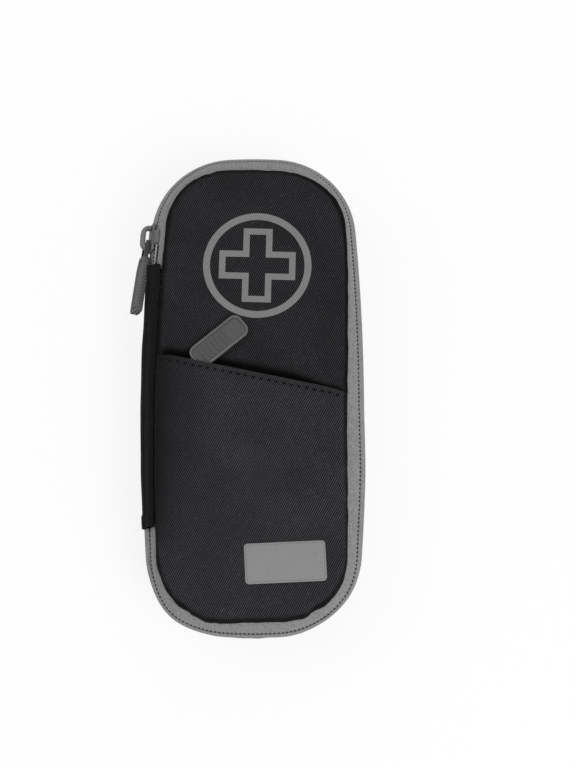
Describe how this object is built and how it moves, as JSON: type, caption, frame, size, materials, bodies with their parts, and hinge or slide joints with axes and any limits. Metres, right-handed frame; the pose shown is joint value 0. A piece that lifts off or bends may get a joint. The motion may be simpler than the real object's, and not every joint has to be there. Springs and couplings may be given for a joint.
{
  "type": "insulin cooling case",
  "caption": "Soft zip clamshell case with padded tub and lid, insulated lining, elastic pen straps, gel pack in a net pocket, slanted front pocket and clear card window.",
  "frame": {"origin": "middle of the case's outline, on the outer face of the card window that the case rests on", "axes": "+Z out of the front of the case, +Y towards its top end, and the spine at -X"},
  "size_m": [0.0959, 0.2, 0.0464],
  "materials": {
    "twill": "matt woven nylon twill",
    "spine_cloth": "matt woven band",
    "foam": "closed-cell foam",
    "insulation": "satin metallised film on cloth",
    "zipper_tape": "woven tape",
    "zipper_coil": "nylon coil",
    "gunmetal": "semi-gloss gunmetal",
    "rubber": "moulded soft rubber",
    "print": "screen print",
    "clear_vinyl": "clear soft vinyl",
    "card": "card stock",
    "elastic": "ribbed elastic",
    "netting": "open net",
    "gel_film": "gel in glossy film"
  },
  "bodies": {
    "tub": {"back_panel": "twill", "gusset": "twill", "floor_foam": "foam", "wall_foam": "foam", "floor_lining": "insulation", "wall_lining": "insulation", "rear_zipper_tape": "zipper_tape", "rear_zipper_coil": "zipper_coil", "spine": "spine_cloth", "id_window": "clear_vinyl", "id_window_border": "clear_vinyl", "id_window_bead": "clear_vinyl", "pen_strap_upper": "elastic", "pen_strap_lower": "elastic"},
    "lid": {"front_panel": "twill", "front_pocket": "twill", "emblem_ring": "print", "emblem_cross": "print", "badge_patch": "rubber", "lid_foam": "foam", "lid_lining": "insulation", "mesh_pocket": "netting", "mesh_pocket_trim": "elastic", "gel_pack": "gel_film", "front_zipper_tape": "zipper_tape", "front_zipper_coil": "zipper_coil", "zipper_end_tape": "zipper_tape", "zipper_end_coil": "zipper_coil", "pocket_zipper_tape_upper": "zipper_tape", "pocket_zipper_tape_lower": "zipper_tape", "pocket_zipper_coil_upper": "zipper_coil", "pocket_zipper_coil_lower": "zipper_coil"},
    "main_slider": {"main_slider_body": "gunmetal", "main_slider_crown": "gunmetal"},
    "main_pull": {"main_pull_link": "rubber", "main_pull_grip": "rubber"},
    "pocket_slider": {"pocket_slider_body": "gunmetal", "pocket_slider_crown": "gunmetal"},
    "pocket_pull": {"pocket_pull_link": "gunmetal", "pocket_pull_grip": "rubber"},
    "id_card": {"id_card": "card"}
  },
  "joints": [
    {"name": "lid_hinge", "type": "hinge", "parent": "tub", "child": "lid", "pos_m": [-0.046, 0, 0.03], "axis": [0, -1, 0], "range_deg": [0, 180], "deforming": ["spine", "zipper_end_tape", "zipper_end_coil"]},
    {"name": "slider_travel", "type": "hinge", "parent": "tub", "child": "main_slider", "pos_m": [-0.0088, 0.06524, 0.03], "axis": [0, 0, -1], "range_deg": [0, 78]},
    {"name": "main_pull_swing", "type": "hinge", "parent": "main_slider", "child": "main_pull", "pos_m": [-0.04468, 0.06181, 0.03089], "axis": [-0.3411, 0.0249, -0.9397], "range_deg": [0, 120]},
    {"name": "pocket_slider_travel", "type": "slide", "parent": "lid", "child": "pocket_slider", "axis": [0.9763, -0.2164, 0], "range_m": [0, 0.042]},
    {"name": "pocket_pull_swivel", "type": "hinge", "parent": "pocket_slider", "child": "pocket_pull", "pos_m": [-0.02835, 0.00489, 0.0434], "axis": [0, 0, 1], "range_deg": [0, 35]},
    {"name": "id_card_slide", "type": "slide", "parent": "tub", "child": "id_card", "axis": [-1, 0, 0], "range_m": [0, 0.05]}
  ]
}
